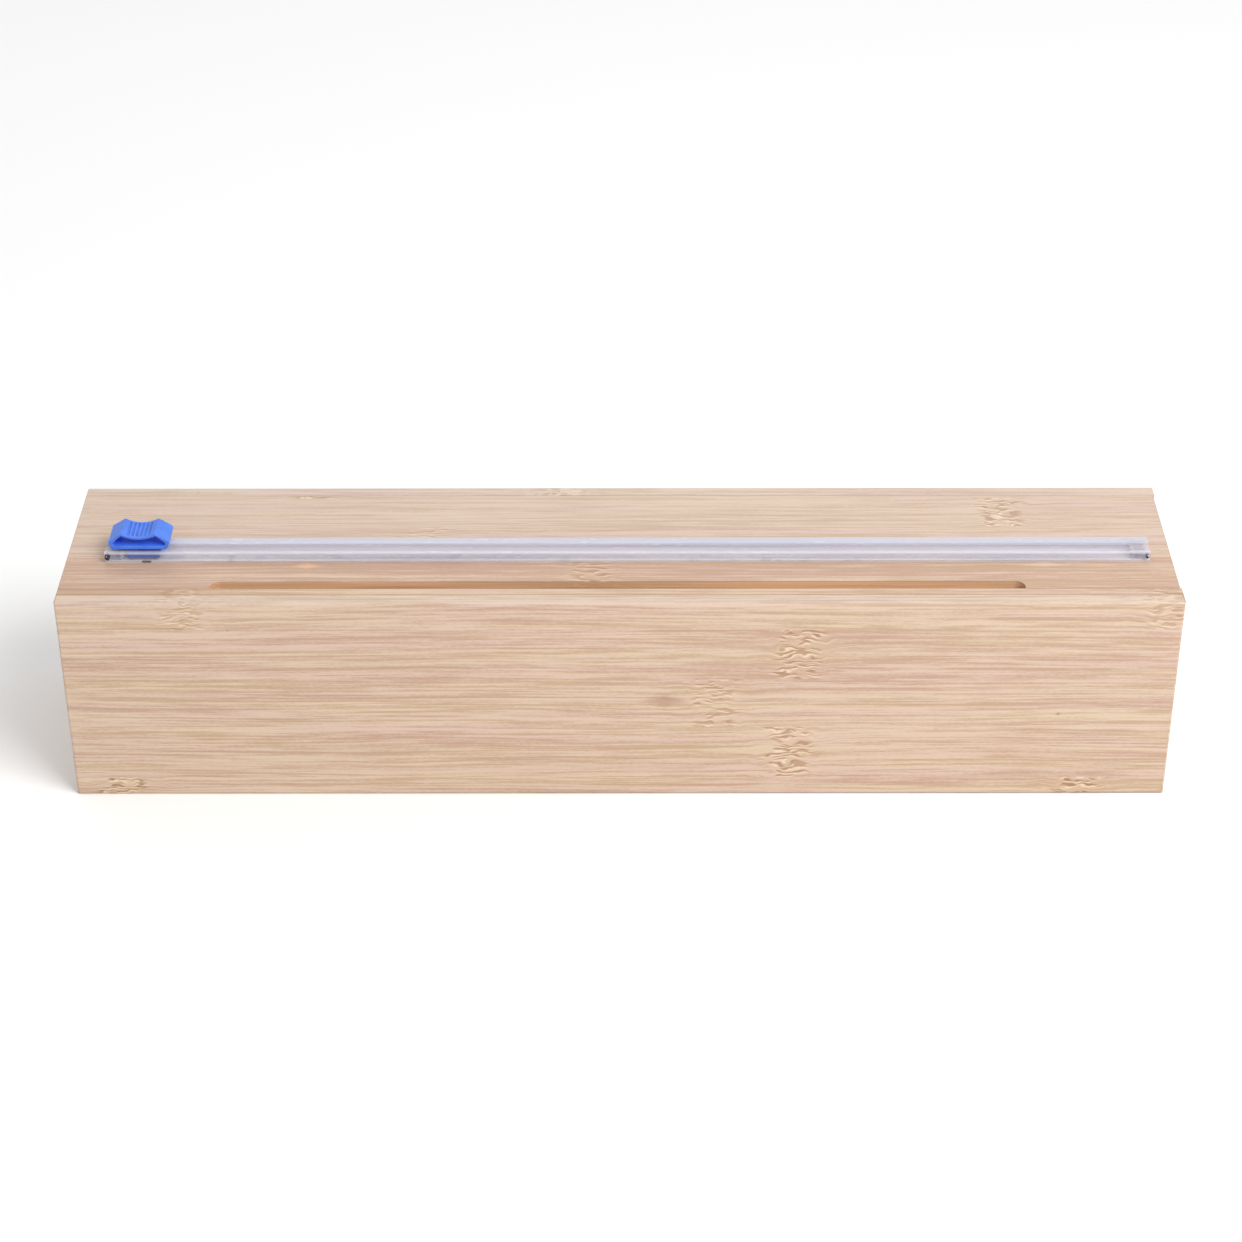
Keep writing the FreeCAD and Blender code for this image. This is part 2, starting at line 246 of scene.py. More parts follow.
class Graph:
    """The node tree of one material."""

    def __init__(self, name):
        self.material = bpy.data.materials.new(name)
        self.material.use_nodes = True
        self.tree = self.material.node_tree
        self.shader = self.tree.nodes["Principled BSDF"]

    def node(self, kind, settings=None, inputs=None, output=0):
        """Adds a node, sets it up, fills or links its inputs and returns one output."""
        made = self.tree.nodes.new(kind)
        for name, value in (settings or {}).items():
            if name == "stops":
                self.set_stops(made.color_ramp.elements, value)
            elif name == "ramp":
                made.color_ramp.interpolation = value
            else:
                setattr(made, name, value)
        for name, value in (inputs or {}).items():
            self.feed(made.inputs[name], value)
        return Value(self, made.outputs[output])

    def set_stops(self, elements, stops):
        """Fills a colour ramp with (place, colour) stops."""
        while len(elements) > len(stops):
            elements.remove(elements[-1])
        while len(elements) < len(stops):
            elements.new(1.0)
        for element, (place, colour) in zip(elements, stops):
            element.position = place
            element.color = (*colour, 1)

    def feed(self, socket, value):
        """Links a value to a socket, or sets the socket's own number or colour."""
        if isinstance(value, Value):
            self.tree.links.new(value.socket, socket)
        elif socket.type == "RGBA" and len(value) == 3:
            socket.default_value = (*value, 1)
        else:
            socket.default_value = value

    def place(self):
        """The x, y and z of a point on the piece, in millimetres."""
        source = self.node("ShaderNodeTexCoord", output="Object")
        x = self.node("ShaderNodeSeparateXYZ", {}, {0: source})
        return [part * (1 / MM) for part in (x, x.other(1), x.other(2))]

    def vector(self, x, y, z):
        return self.node("ShaderNodeCombineXYZ", {}, {0: x, 1: y, 2: z})

    def noise(self, vector, detail=2.0, scale=1.0):
        """Smooth noise from about -0.3 to 0.3, with one lump to about every unit of the vector."""
        inputs = {"Vector": vector, "Scale": scale, "Detail": detail, "Roughness": 0.5}
        return self.node("ShaderNodeTexNoise", {}, inputs) - 0.5

    def cells(self, vector, randomness=1.0):
        """Distance to the nearest of many scattered points, one to every unit of the vector."""
        inputs = {"Vector": vector, "Scale": 1.0, "Randomness": randomness}
        return self.node("ShaderNodeTexVoronoi", {"feature": "F1"}, inputs)

    def mix(self, share, first, second):
        """Two colours mixed; share 1 gives the second."""
        settings = {"data_type": "RGBA", "blend_type": "MIX"}
        return self.node("ShaderNodeMix", settings, {0: share, 6: first, 7: second}, output=2)

    def table(self, position, rows):
        """Looks a position from 0 to 1 up in rows of (start, three numbers) and returns the three."""
        found = self.node("ShaderNodeValToRGB", {"ramp": "CONSTANT", "stops": rows}, {0: position})
        red = self.node("ShaderNodeSeparateColor", {}, {0: found})
        return red, red.other(1), red.other(2)

    def bump(self, height, strength, distance):
        inputs = {"Height": height, "Strength": strength, "Distance": distance}
        return self.node("ShaderNodeBump", {}, inputs)

    def finish(self, **inputs):
        """Feeds the shader; names are its sockets' names with _ for a space."""
        for name, value in inputs.items():
            self.feed(self.shader.inputs[name.replace("_", " ")], value)
        return self.material


def scaled(colour, factor):
    """A colour with each part multiplied."""
    return tuple(part * factor for part in colour)


# ---- bamboo


NODE_SPACING = 302.0  # from one node of a bamboo strip to its next, in millimetres
TABLE_SPAN = 400.0  # node places are stored from -200 to 200 mm as 0 to 1
STRIP_SHIFT = 913.0  # how far apart the noise of a dark and a pale strip is, in millimetres
STROKE = (5.2, 0.95)  # length and width of the curled fibres at a node
GLINT_SHIFT = 0.55  # from a brown stroke at a node to the cream one beside it
# painted sheen: the grey that the upper faces are mixed towards
TOP_SHEEN_GREY = (0.57, 0.52, 0.505)
SLOT_WALL_REACH = (127.5, 126.5)  # the routed wall fades out between these distances from the middle


class Bamboo(Graph):
    """Laminated bamboo for one CAD node, in millimetres. along and stack are 0, 1 or 2 for x, y or z:
    the fibres' direction, and the direction in which strips follow each other."""

    def __init__(self, name, look, node, along, stack, strips):
        super().__init__(name)
        self.look = look
        self.along = along
        self.low, self.high = [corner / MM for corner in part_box(node)]
        self.point = self.place()
        self.a, self.s = self.point[along], self.point[stack]
        self.t = self.point[3 - along - stack]
        self.find_strip(stack, strips)
        self.find_node()
        self.find_grain()

    def find_strip(self, stack, strips):
        """Looks up the strip at a point. Each strip is (its lowest place, its node's place along the
        fibres, tone, node strength), the last two from 0 to 1."""
        rows = []
        depth = self.high[stack] - self.low[stack]
        for start, node_place, tone, strength in strips:
            row_start = max(0.0, (start - self.low[stack]) / depth)
            rows.append((row_start, (node_place / TABLE_SPAN + 0.5, tone, strength)))
        stored_place, self.tone, self.strength = self.table((self.s - self.low[stack]) / depth, rows)
        self.own_a = self.a + self.tone * STRIP_SHIFT
        self.from_node = (self.a - (stored_place - 0.5) * TABLE_SPAN).wrapped(NODE_SPACING / 2)

    def find_node(self):
        """A node's fibres curl, and those beside it bow. Elsewhere they wander slightly."""
        ragged = self.noise(self.vector(self.s / 2.4, self.t / 2.4, self.tone * STRIP_SHIFT), detail=2) * 12
        self.near_node = abs(self.from_node + ragged).step(8.5, 4.5) * self.strength
        self.halo = abs(self.from_node + ragged * 0.5).step(24, 5) * self.strength
        bow = self.lumps(self.s, 8, 3.4) * self.halo * 4.2
        curl = self.lumps(self.s, 3.6, 2.4) * self.near_node * 2.2
        self.across = self.s + self.lumps(self.s, 130, 24) * 4 + bow + curl

    def lumps(self, across, length, width, offset=0.0):
        """Noise with lumps this long and wide; offset tells one layer from another."""
        spot = self.vector(self.own_a / length + offset, across / width, self.t / width)
        return self.noise(spot, detail=1)

    def fibres(self, *sizes):
        """Noise drawn out along the bent fibres, each strip its own."""
        return self.lumps(self.across + self.tone * STRIP_SHIFT, *sizes)

    def find_grain(self):
        """The layers of grain that both the colour and the surface use."""
        self.streaks = self.fibres(90, 2.3, 3.1)
        self.threads = self.fibres(70, 0.84, 11.3)
        self.hairs = self.fibres(15, 0.62, 8.3)
        self.dark_lines = self.fibres(90, 0.9, 17.7).step(0.11, 0.22)
        self.squiggle = self.lumps(self.across, *STROKE)

    def clear_wood(self, shade):
        """The colour of the strips; shade is the share of tan laid over it."""
        look = self.look
        lightness = 0.56 + self.fibres(160, 7) * 0.55 + self.streaks * 0.75 + self.threads * 2.3
        lightness = lightness + self.hairs * 1.8 + self.fibres(1.7, 0.45, 5.9) * 0.8
        pale_lines = self.fibres(60, 0.8, 29.1).step(0.1, 0.2)
        lightness = lightness + (self.tone - 0.5) * 0.8 - self.dark_lines * 0.34 + pale_lines * 0.2
        wood = self.mix(lightness.step(-0.1, 1.1), look.tan, look.pale)
        wood = self.mix(shade, wood, look.tan)
        hue = (self.fibres(110, 2.6, 41.3) * 2.4 + self.tone * 0.5 + 0.25).step(0.1, 0.9)
        return self.mix(0.42, wood, self.mix(hue, look.blush, look.honey))

    def with_nodes(self, wood):
        """Adds the brown strokes of a node and cream painted highlights beside them."""
        brown = self.squiggle.step(-0.01, 0.1) * self.near_node
        glint = self.lumps(self.across + GLINT_SHIFT, *STROKE).step(-0.01, 0.1) * self.near_node
        wood = self.mix(self.near_node * 0.15 + self.halo * 0.08, wood, self.look.honey)
        wood = self.mix(glint * 0.7, wood, self.look.cream)
        return self.mix(brown * (0.95 - self.tone * 0.3), wood, self.look.knot)

    def with_smears(self, wood, smears):
        """Adds soft spots. Each is (place along the fibres, place along stack, half length, half
        width, the name of its colour)."""
        for smear_a, smear_s, half_length, half_width, colour in smears:
            reach = abs(self.a - smear_a) / half_length
            reach = reach + abs(self.s - smear_s + self.streaks * 3) / half_width
            wood = self.mix(reach.step(1.0, 0.2) * 0.5, wood, getattr(self.look, colour))
        return wood

    def with_top_sheen(self, wood, sheen_grey):
        """Greys the upper face as painted sheen, mostly on pale strips."""
        upper = self.point[2].step(self.high.z - 1.3, self.high.z - 0.1)
        return self.mix(upper * self.tone * sheen_grey * 1.7, wood, TOP_SHEEN_GREY)

    def with_cut_ends(self, wood):
        """Darkens the board's two ends and dots them with cut fibre bundles."""
        half = (self.high[self.along] - self.low[self.along]) / 2
        end_face = abs(self.a - (self.low[self.along] + half)).step(half - 0.25, half - 0.05)
        bundles = self.cells(self.vector(0.0, self.s / 0.75, self.t / 0.75), 0.75).step(0.36, 0.2)
        return self.mix(end_face * 0.4 + end_face * bundles * 0.4, wood, self.look.seam)

    def with_joints(self, wood, share):
        """Darkens the board's sharp edges: a glue line with painted shade in the joint."""
        near = []
        for axis in range(3):
            middle = (self.low[axis] + self.high[axis]) / 2
            reach = (self.high[axis] - self.low[axis]) / 2
            near.append(abs(self.point[axis] - middle).step(reach - 0.45, reach - 0.15))
        joint = near[0] * near[1] + near[1] * near[2] + near[2] * near[0]
        return self.mix(joint * share, wood, self.look.seam)

    def with_slot_wall(self, wood, slot):
        """Scorches the routed wall of a slot, given by the two corners of its opening."""
        wall = self.point[1].step(slot[1].y / MM + 0.3, slot[1].y / MM + 0.1)
        wall = wall * self.point[2].step(self.high.z - 0.12, self.high.z - 0.45)
        wall = wall * abs(self.point[0]).step(*SLOT_WALL_REACH)
        uneven = (self.streaks + self.threads).step(-0.25, 0.25)
        scorched = self.mix(uneven, scaled(self.look.routed, 0.74), self.look.routed)
        return self.mix(wall * 0.9, wood, scorched)

    def worn(self, wood):
        """Adds scattered specks and faint handling marks, and finishes the material."""
        speck = self.cells(self.vector(self.a / 26, self.s / 26, self.t / 26)).step(0.017, 0.008)
        wood = self.mix(speck * 0.8, wood, self.look.knot)
        marks = self.noise(self.vector(self.a / 40, self.s / 22, self.t / 22), detail=3).step(0.06, 0.25)
        wood = self.mix(marks * 0.1, wood, self.look.tan)
        relief = self.threads * 0.9 + self.hairs * 0.7 - self.dark_lines * 0.4
        relief = relief + self.squiggle * self.near_node * 2
        sheen = 0.47 + self.hairs * 0.3 + self.dark_lines * 0.12 + marks * 0.06 + self.near_node * 0.06
        return self.finish(
            Base_Color=wood,
            Roughness=sheen,
            Specular_IOR_Level=0.36,
            Normal=self.bump(relief, 0.4, 0.1 * MM),
        )


def bamboo(name, look, node, along, stack, strips, sheen_grey=0.0, smears=(), slot=None, joint_share=0.3,
           shade=0.0):
    """The bamboo of one board. Its sheen grey, joint_share and shade are the strengths of its painted sheen
    on the upper face, of the glue and painted shade along its joints, and of its tan."""
    graph = Bamboo(name, look, node, along, stack, strips)
    wood = graph.with_nodes(graph.clear_wood(shade))
    wood = graph.with_smears(wood, smears)
    wood = graph.with_top_sheen(wood, sheen_grey)
    wood = graph.with_cut_ends(wood)
    wood = graph.with_joints(wood, joint_share)
    if slot:
        wood = graph.with_slot_wall(wood, slot)
    return graph.worn(wood)


# ---- other materials


WALL_SHADOW = (0.05, 0.10, 0.30)
# painted shade in the rail's end holes
HOLE_SHADE = (0.02, 0.015, 0.02)


def clear_plastic(name, look, haze, roughness, bright):
    """Clear plastic, milkier where it is thicker, with painted highlights where it catches the light, faint
    drawing lines along x, greasy smudges, and painted shade on the rail's front wall and in its end holes.
    bright is a function of x, y, z that is 1 where the plastic is thicker or catches the light."""
    graph = Graph(name)
    x, y, z = graph.place()
    drawn = graph.noise(graph.vector(x / 45, y / 0.5, z / 0.5), detail=2)
    smudge = graph.noise(graph.vector(x / 7, y / 2.5, z / 2.5), detail=3).step(0.08, 0.22)
    cloud = graph.noise(graph.vector(x / 60, y / 8, z / 8), detail=1)
    thick_or_lit = bright(x, y, z)
    low, high = [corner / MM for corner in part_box("cutter_rail")]
    wall = y.step(low.y + 0.5, low.y + 0.3) * z.step(high.z - 0.7, high.z - 1.1)
    land = z.step(high.z - 1.8, high.z - 1.4) * (wall * -1 + 1) * 0.6
    hole_shade = end_hole_shade(x, y, z, low, high)
    colour = graph.mix(land, look.tint, look.land)
    colour = graph.mix((thick_or_lit + smudge * 0.3).step(0, 1), colour, look.rim)
    colour = graph.mix(wall * 0.85, colour, WALL_SHADOW)
    # painted shade in the end holes, which also makes them opaque
    colour = graph.mix(hole_shade * 0.95, colour, HOLE_SHADE)
    return graph.finish(
        Base_Color=colour,
        Alpha=haze + thick_or_lit * 0.35 + smudge * 0.12 + drawn * 0.3 + cloud * 0.15 + hole_shade,
        Roughness=roughness + drawn * 0.15 + smudge * 0.2,
        Specular_IOR_Level=0.5,
        Normal=graph.bump(drawn, 0.2, 0.03 * MM),
    )


def end_hole_shade(x, y, z, low, high):
    """1 round the axes of the rail's two end holes, in its front wall, where painted shade darkens them.
    The right one is smaller.
    """
    from_end = abs(x - (low.x + high.x) / 2) - (high.x - low.x) / 2 + END_HOLE_INSET / MM
    from_axis = z - (low.z + (high.z - low.z) * 0.47)
    reach = (from_end * from_end + from_axis * from_axis * 0.5) * (x.step(0, 1) + 1)
    return y.step(low.y + 1.8, low.y + 1.6) * reach.step(0.75, 0.5)


def moulded_plastic(name, colour, roughness, detail=None):
    """Satin moulded plastic with a fine grain and a slightly worn, paler bloom. detail, if given,
    takes the graph, the colour and the place, and returns the colour to use."""
    graph = Graph(name)
    x, y, z = graph.place()
    grain = graph.noise(graph.vector(x, y, z), scale=7.0)
    cloud = graph.noise(graph.vector(x / 3.2, y / 3.2, z / 3.2), detail=3)
    scuff = graph.noise(graph.vector(x / 0.25, y / 2.5, z / 0.6)).step(0.13, 0.24)
    pale = tuple(0.75 * part + 0.25 for part in colour)
    body = graph.mix(cloud.step(-0.3, 0.3), scaled(colour, 0.78), colour)
    body = graph.mix(scuff * 0.22, body, pale)
    if detail:
        body = detail(graph, body, x, y, z)
    return graph.finish(
        Base_Color=body,
        Roughness=roughness + cloud * 0.12 + scuff * 0.15,
        Specular_IOR_Level=0.42,
        Normal=graph.bump(grain + scuff * 0.4, 0.18, 0.03 * MM),
    )


def bright_metal(name, colour, along, roughness):
    """Ground or plated metal with fine lines along one axis."""
    graph = Graph(name)
    place = graph.place()
    scale = [6.0, 6.0, 6.0]
    scale[along] = 0.35
    lines = graph.noise(graph.vector(*(part * k for part, k in zip(place, scale))))
    stain = graph.noise(graph.vector(*(part / 1.7 for part in place)), detail=3).step(0, 0.25)
    return graph.finish(
        Base_Color=graph.mix(stain * 0.5, colour, scaled(colour, 0.6)),
        Metallic=1.0,
        Roughness=roughness + lines * 0.2 + stain * 0.15,
        Normal=graph.bump(lines, 0.3, 0.02 * MM),
    )


def foam(name, colour, black_spot_x):
    """Milky foam tape with small closed cells, painted shade on its front face under the rail and a black
    spot under its front edge.
    """
    graph = Graph(name)
    x, y, z = graph.place()
    bubbles = graph.cells(graph.vector(x * 6, y * 6, z * 6))
    cloud = graph.noise(graph.vector(x / 6, y / 3, z / 3)).step(-0.1, 0.2)
    yellowed = (colour[0], colour[1] * 0.97, colour[2] * 0.88)
    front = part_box("rail_tape")[0].y / MM
    # a black spot on the tape's front edge, under the rail beside the knob
    black_spot = abs(x - black_spot_x / MM).step(1.6, 1.2) * y.step(front + 0.5, front + 0.2)
    body = graph.mix(cloud * 0.6, colour, yellowed)
    # painted shade on the tape's front face, under the rail's overhang
    body = graph.mix(y.step(front + 0.6, front + 0.1) * 0.5, body, scaled(colour, 0.62))
    return graph.finish(
        Base_Color=graph.mix(black_spot * 0.9, body, (0.015, 0.012, 0.015)),
        Roughness=0.75 + bubbles * 0.15,
        Normal=graph.bump(bubbles, 0.4, 0.04 * MM),
    )


def floor_finish(name, colour):
    """Smooth pale floor with a trace of paper grain."""
    graph = Graph(name)
    x, y, z = graph.place()
    paper = graph.noise(graph.vector(x / 240, y / 240, z)) + 0.5
    return graph.finish(
        Base_Color=graph.mix(paper, scaled(colour, 0.985), colour),
        Roughness=0.85 + paper * 0.1,
        Specular_IOR_Level=0.1,
    )


def wear(piece, material):
    """Gives a piece one material."""
    piece.data.materials.clear()
    piece.data.materials.append(material)


# ---- modelling


def leave_edit():
    bpy.ops.object.mode_set(mode="OBJECT")


def select_only(*pieces):
    """Leaves edit mode and selects only these pieces; the first is active."""
    if bpy.context.object and bpy.context.object.mode != "OBJECT":
        leave_edit()
    bpy.ops.object.select_all(action="DESELECT")
    for piece in pieces:
        piece.select_set(True)
    if pieces:
        bpy.context.view_layer.objects.active = pieces[0]


def new_block(name, low, high):
    """A block between two corners, with its place in its mesh."""
    select_only()
    low, high = Vector(low), Vector(high)
    bpy.ops.mesh.primitive_cube_add(size=1, location=(low + high) / 2, scale=high - low)
    return settled(name)


def new_rod(name, centre, radius, length, axis, vertices=24):
    """A round rod about an axis, with its place in its mesh."""
    select_only()
    turn = axis.to_track_quat("Z", "Y").to_euler()
    bpy.ops.mesh.primitive_cylinder_add(
        vertices=vertices, radius=radius, depth=length, location=centre, rotation=turn)
    return settled(name)


def settled(name):
    """Names the new primitive and applies its place, so that its object sits at the origin."""
    piece = bpy.context.object
    piece.name = name
    piece.data.name = name
    bpy.ops.object.transform_apply(location=True, rotation=True, scale=True)
    return piece


def edit(piece, mode="EDGE"):
    """Enters edit mode on one piece with nothing selected."""
    select_only(piece)
    bpy.ops.object.mode_set(mode="EDIT")
    bpy.ops.mesh.select_mode(type=mode)
    bpy.ops.mesh.select_all(action="DESELECT")


def select_edges(piece, wanted):
    """Selects the edges whose two ends pass a test, in edit mode."""
    edit(piece)
    leave_edit()
    places = [vertex.co for vertex in piece.data.vertices]
    for edge in piece.data.edges:
        edge.select = wanted(places[edge.vertices[0]], places[edge.vertices[1]])
    bpy.ops.object.mode_set(mode="EDIT")


def select_faces(piece, wanted):
    """Selects the faces whose middle and normal pass a test, in edit mode."""
    edit(piece, "FACE")
    leave_edit()
    for face in piece.data.polygons:
        face.select = wanted(face.center, face.normal)
    bpy.ops.object.mode_set(mode="EDIT")


def bevel(width, segments):
    """Rounds the selected edges and leaves edit mode."""
    bpy.ops.mesh.bevel(offset=width, offset_type="OFFSET", segments=segments, profile=0.5, affect="EDGES")
    leave_edit()


def bevel_sharp(piece, width, segments, angle=50):
    """Rounds every edge that is sharper than the angle."""
    edit(piece)
    bpy.ops.mesh.edges_select_sharp(sharpness=math.radians(angle))
    bevel(width, segments)


def slice_at(piece, places, normal):
    """Cuts new edge loops round a piece, square to the normal, at each place."""
    for place in places:
        edit(piece)
        bpy.ops.mesh.select_all(action="SELECT")
        bpy.ops.mesh.bisect(plane_co=place, plane_no=normal)
        leave_edit()


def carve(piece, tool):
    """Cuts the tool's shape out of a piece and removes the tool."""
    modifier = piece.modifiers.new("carve", "BOOLEAN")
    modifier.operation = "DIFFERENCE"
    modifier.solver = "EXACT"
    modifier.object = tool
    select_only(piece)
    bpy.ops.object.modifier_apply(modifier=modifier.name)
    bpy.data.objects.remove(tool)


def clean(piece, smooth_angle=32):
    """Merges doubles, points the faces out and shades the round stretches smooth, and only those."""
    edit(piece)
    bpy.ops.mesh.select_all(action="SELECT")
    bpy.ops.mesh.remove_doubles(threshold=0.002 * MM)
    bpy.ops.mesh.normals_make_consistent(inside=False)
    leave_edit()
    bpy.ops.object.shade_smooth_by_angle(angle=math.radians(smooth_angle))
    modifier = piece.modifiers.new("flat faces", "WEIGHTED_NORMAL")
    modifier.keep_sharp = True
    modifier.weight = 100
    bpy.ops.object.modifier_apply(modifier=modifier.name)


def stand_for(piece, body, slot, *nodes):
    """The piece takes the place of CAD nodes and moves with a body. slot is not used."""
    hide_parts(*nodes)
    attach(piece, body)


def same(value, target):
    """True when two places are within a hundredth of a millimetre."""
    return abs(value - target) < 0.01 * MM


def opening(name):
    """The two corners of an opening that the record states."""
    for stated in frame["record"]["physics"]["openings"]:
        if stated["name"] == name:
            return [Vector(corner) for corner in stated["box_m"]]
    raise ValueError("the record states no opening named " + name)


# ---- boards


# strips: lowest place, node's place along the fibres, tone, node strength
# smears: place along the fibres, place along stack, half length, half width, colour
FRONT_STRIPS = [
    (0.0, -157.0, 0.47, 1.0), (6.6, 52.5, 0.55, 0.85), (25.9, 28.5, 0.5, 0.65),
    (43.9, 55.0, 0.46, 0.85), (62.2, -134.5, 0.57, 0.6),
]
FRONT_SMEARS = [(14.0, 36.0, 12.0, 3.5, "knot"), (136.7, 30.9, 1.2, 0.8, "knot")]
GUIDE_STRIPS = [(0.0, 168.0, 0.45, 0.6)]
GUIDE_SMEARS = [(-166.0, 71.0, 55.0, 60.0, "tan")]
LID_STRIPS = [
    (-27.0, -9.0, 0.04, 0.6), (-8.5, -61.5, 0.55, 0.6), (9.6, 121.5, 0.62, 1.0), (27.6, -98.0, 0.57, 0.8),
]
LID_SMEARS = [
    (-97.0, -13.4, 7.0, 2.0, "routed"), (132.0, -13.0, 15.0, 1.8, "cream"),
    (150.0, -13.0, 10.0, 1.2, "routed"),
]
BACK_STRIPS = [
    (0.0, 120.0, 0.46, 0.7), (14.0, -88.0, 0.56, 0.8), (32.0, 31.0, 0.52, 0.6), (50.0, -20.0, 0.59, 0.9),
]
BOTTOM_STRIPS = [
    (-40.0, 77.0, 0.41, 0.7), (-14.0, -112.0, 0.54, 0.9), (4.0, 12.0, 0.46, 0.6), (22.0, -60.0, 0.57, 0.7),
]
END_STRIPS = {
    "left": [
        (0.0, -140.0, 0.52, 0.5), (18.0, 6.0, 0.44, 0.8), (36.0, 140.0, 0.57, 0.6),
        (54.0, 120.0, 0.5, 0.6),
    ],
    "right": [
        (0.0, 130.0, 0.57, 0.5), (17.0, -150.0, 0.5, 0.8), (35.0, 120.0, 0.46, 0.6),
        (53.0, -14.0, 0.55, 0.7),
    ],
}
BATTEN_STRIPS = {"left": [(0.0, 140.0, 0.44, 0.5)], "right": [(0.0, -140.0, 0.57, 0.5)]}
SLOT_SIDE_CLEARANCE = 0.2 * MM  # between the record's slot opening and the slot's end
SLOT_FAR_CLEARANCE = 0.05 * MM  # between the record's slot opening and the slot's far wall
SOCKET_SPARE = 0.5 * MM  # how far a magnet socket's tool stands out of the board
MAGNET_ROUND = 0.2 * MM


def board(name, node, look, is_outer=None):
    """A board in its CAD node's box. Edges between two points that pass the test are well rounded,
    and the others barely."""
    piece = new_block(name, *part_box(node))
    if is_outer:
        select_edges(piece, lambda p, q: is_outer(p) and is_outer(q))
        bevel(look.outer_round, 5)
    bevel_sharp(piece, look.joint_round, 2)
    clean(piece)
    return piece


def magnet_places(node):
    """The centres, radius and thickness of the two discs of a magnet node."""
    low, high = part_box(node)
    radius = (high.x - low.x) / 2
    middle = (low + high) / 2
    centres = [Vector((middle.x, y, middle.z)) for y in (low.y + radius, high.y - radius)]
    return centres, radius, high.z - low.z


def sink_magnets(piece, node, way):
    """Round sockets for a magnet node; way is 1 where they open upwards and -1 downwards."""
    centres, radius, thickness = magnet_places(node)
    for centre in centres:
        middle = centre + Z_AXIS * way * SOCKET_SPARE / 2
        carve(piece, new_rod("socket", middle, radius, thickness + SOCKET_SPARE, Z_AXIS, 48))
    clean(piece)


class DISPENSER_OT_front(bpy.types.Operator):
    """Front board and the strip glued inside its top edge"""

    bl_idname = "dispenser.front"
    bl_label = "Front board"

    def execute(self, context):
        look = context.scene.dispenser.box
        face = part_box("front_board")[0].y
        front = board("bamboo_front", "front_board", look, lambda p: same(p.y, face))
        wear(front, bamboo("front bamboo", look, "front_board", 0, 2, FRONT_STRIPS, 0.2, FRONT_SMEARS,
                            joint_share=0.9))
        stand_for(front, "box", "bamboo_board", "front_board")
        strip = board("bamboo_guide_strip", "front_guide_strip", look)
        wear(strip, bamboo("strip bamboo", look, "front_guide_strip", 0, 2, GUIDE_STRIPS, 0.0, GUIDE_SMEARS,
                            joint_share=0.25, shade=0.16))
        stand_for(strip, "box", "bamboo_board", "front_guide_strip")
        return {"FINISHED"}


class DISPENSER_OT_back(bpy.types.Operator):
    """Back board"""

    bl_idname = "dispenser.back"
    bl_label = "Back board"

    def execute(self, context):
        look = context.scene.dispenser.box
        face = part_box("back_board")[1].y
        back = board("bamboo_back", "back_board", look, lambda p: same(p.y, face))
        wear(back, bamboo("back bamboo", look, "back_board", 0, 2, BACK_STRIPS, 0.3, joint_share=0.05))
        stand_for(back, "box", "bamboo_board", "back_board")
        return {"FINISHED"}


class DISPENSER_OT_bottom(bpy.types.Operator):
    """Bottom board, set in between the others"""

    bl_idname = "dispenser.bottom"
    bl_label = "Bottom board"

    def execute(self, context):
        look = context.scene.dispenser.box
        bottom = board("bamboo_bottom", "bottom_board", look)
        wear(bottom, bamboo("bottom bamboo", look, "bottom_board", 0, 1, BOTTOM_STRIPS))
        stand_for(bottom, "box", "bamboo_inner", "bottom_board")
        return {"FINISHED"}


class DISPENSER_OT_ends(bpy.types.Operator):
    """End boards, with sockets for their magnets"""

    bl_idname = "dispenser.ends"
    bl_label = "End boards"

    def execute(self, context):
        look = context.scene.dispenser.box
        for side, sign in SIDES.items():
            node = side + "_end_board"
            low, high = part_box(node)
            outer_x = low.x if sign < 0 else high.x
            end = board("bamboo_end_" + side, node, look, lambda p: same(p.x, outer_x) and same(p.z, low.z))
            sink_magnets(end, "box_magnets_" + side, 1)
            wear(end, bamboo(side + " end bamboo", look, node, 1, 2, END_STRIPS[side]))
            stand_for(end, "box", "bamboo_board", node)
        return {"FINISHED"}


class DISPENSER_OT_lid(bpy.types.Operator):
    """Lid board with the film slot in its front edge"""

    bl_idname = "dispenser.lid"
    bl_label = "Lid board"

    def execute(self, context):
        look = context.scene.dispenser.box
        low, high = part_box("lid_board")
        slot = opening("film_slot")
        lid = new_block("bamboo_lid", low, high)
        carve(lid, self.slot_tool(slot, low, high, look))
        bevel_sharp(lid, look.joint_round * 0.7, 3)
        for side in SIDES:
            sink_magnets(lid, "lid_magnets_" + side, -1)
        surface = bamboo(
            "lid bamboo", look, "lid_board", 0, 1, LID_STRIPS, 0.18, LID_SMEARS, slot,
            joint_share=0.1, shade=0.06)
        wear(lid, surface)
        stand_for(lid, "lid", "bamboo_board", "lid_board")
        return {"FINISHED"}

    def slot_tool(self, slot, low, high, look):
        """The slot's shape: its far corners are round, its front is open."""
        left = slot[0].x - look.slot_corner - SLOT_SIDE_CLEARANCE
        right = slot[1].x + look.slot_corner + SLOT_SIDE_CLEARANCE
        far = slot[1].y + SLOT_FAR_CLEARANCE
        tool = new_block("slot", (left, low.y - MM, low.z - MM), (right, far, high.z + MM))
        select_edges(tool, lambda p, q: same(p.y, far) and same(q.y, far) and same(p.x, q.x))
        bevel(look.slot_corner, 12)
        return tool


